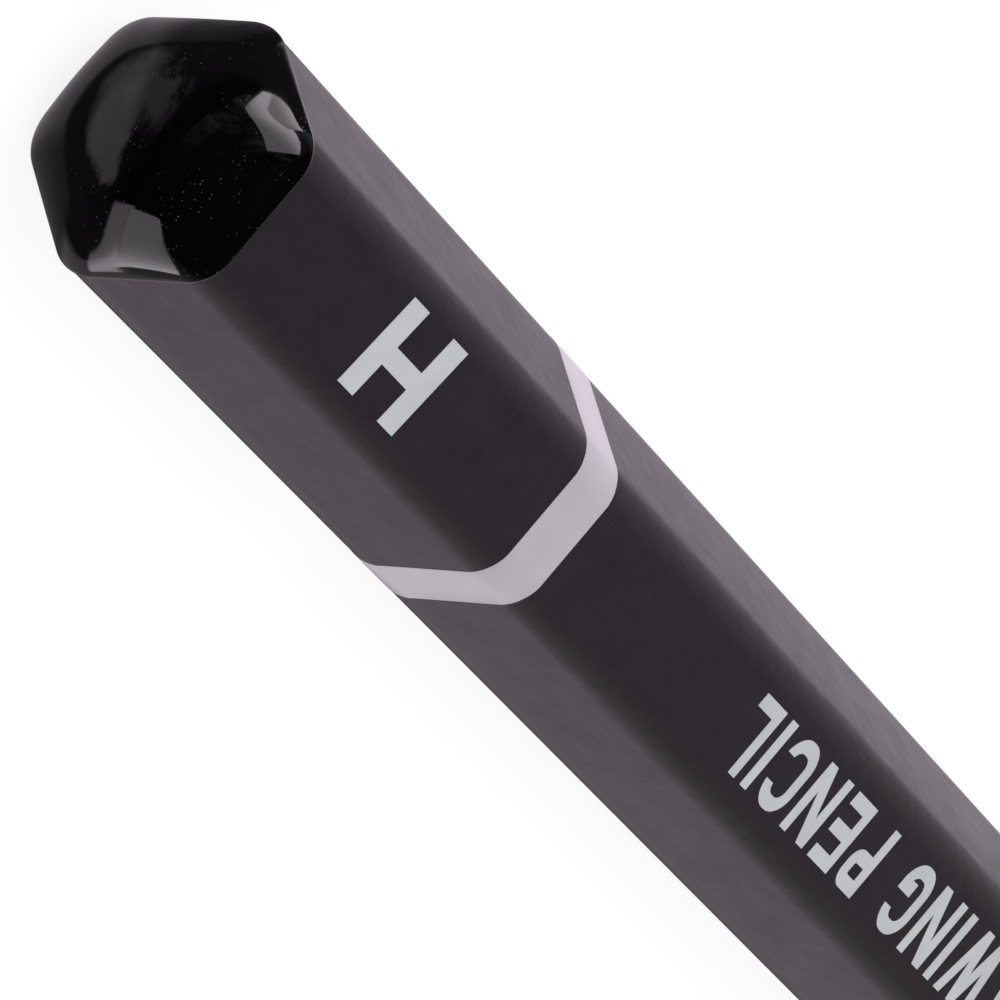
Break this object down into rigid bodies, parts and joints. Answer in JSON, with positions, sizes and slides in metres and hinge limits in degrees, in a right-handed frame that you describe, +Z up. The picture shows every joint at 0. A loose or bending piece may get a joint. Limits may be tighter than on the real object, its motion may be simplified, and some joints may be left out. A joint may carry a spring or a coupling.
{
  "type": "graphite pencil",
  "caption": "Sharpened hexagonal graphite pencil in satin black lacquer, with a silver ring, foil marks and a glossy dipped end.",
  "frame": {"origin": "on the surface that the pencil lies on, under the middle of its length and width", "axes": "+X along the pencil towards the dipped end, -X towards the point; +Z up, out of the printed flat; the letters' tops point to +Y"},
  "size_m": [0.175, 0.0078, 0.0071],
  "materials": {
    "graphite": "dark grey graphite with a soft metallic sheen",
    "wood": "bare close-grained pencil wood, cut clean by the sharpener",
    "glue": "dried wood glue",
    "primer": "matt grey primer",
    "lacquer": "satin black lacquer with a faint ripple",
    "silver_ring": "satin pale silver lacquer",
    "dip_lacquer": "thick high-gloss black dip",
    "foil": "pale silver hot-stamped foil, nearly matt"
  },
  "bodies": {
    "root": {"lead": "graphite", "upper_slat": "wood", "lower_slat": "wood", "glue_line": "glue", "undercoat": "primer", "colour_coat": "lacquer", "ring_band": "silver_ring", "end_cap": "dip_lacquer", "grade_mark": "foil", "name_print": "foil"}
  },
  "joints": []
}
